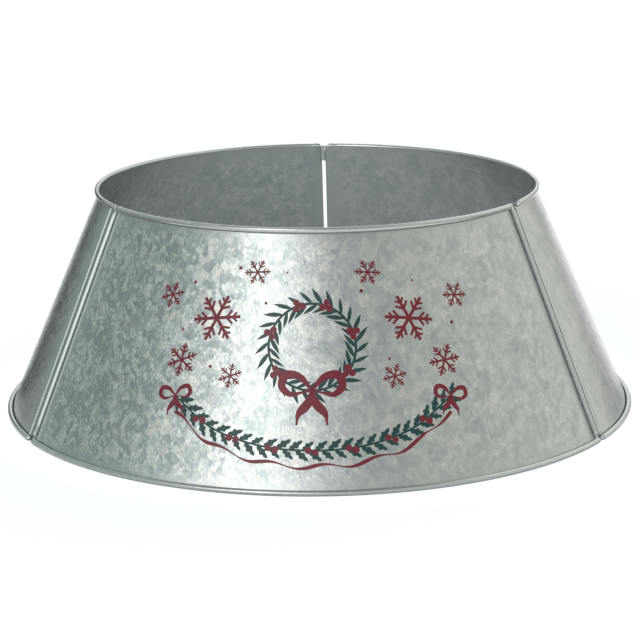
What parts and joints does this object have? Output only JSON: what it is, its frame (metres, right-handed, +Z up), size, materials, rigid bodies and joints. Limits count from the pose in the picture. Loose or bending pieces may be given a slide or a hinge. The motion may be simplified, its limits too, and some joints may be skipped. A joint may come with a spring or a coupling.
{
  "type": "christmas tree collar",
  "caption": "Open cone of thin galvanised steel panels with rolled rims and locked seams, to stand round the foot and stand of a Christmas tree.",
  "frame": {"origin": "on the floor, on the axis of the cone", "axes": "+Z up along the cone's axis; -Y is the front, in the middle of the printed panel; +X is to the right seen from the front"},
  "size_m": [0.6598, 0.6597, 0.2328],
  "materials": {
    "zinc_left": "galvanised, mottled with fine spangle, satin",
    "zinc_front": "galvanised, mottled with fine spangle, satin, with a printed red and green decoration",
    "zinc_right": "galvanised, mottled with fine spangle, satin"
  },
  "bodies": {
    "left_panel": {"left_panel": "zinc_left"},
    "front_panel": {"front_panel": "zinc_front"},
    "right_panel": {"right_panel": "zinc_right"}
  },
  "joints": [
    {"name": "front_slide", "type": "slide", "parent": "left_panel", "child": "front_panel", "axis": [0.3466, 0.2001, 0.9164], "range_m": [0, 0.24]},
    {"name": "right_slide", "type": "slide", "parent": "front_panel", "child": "right_panel", "axis": [-0.3466, 0.2001, 0.9164], "range_m": [0, 0.24]}
  ]
}
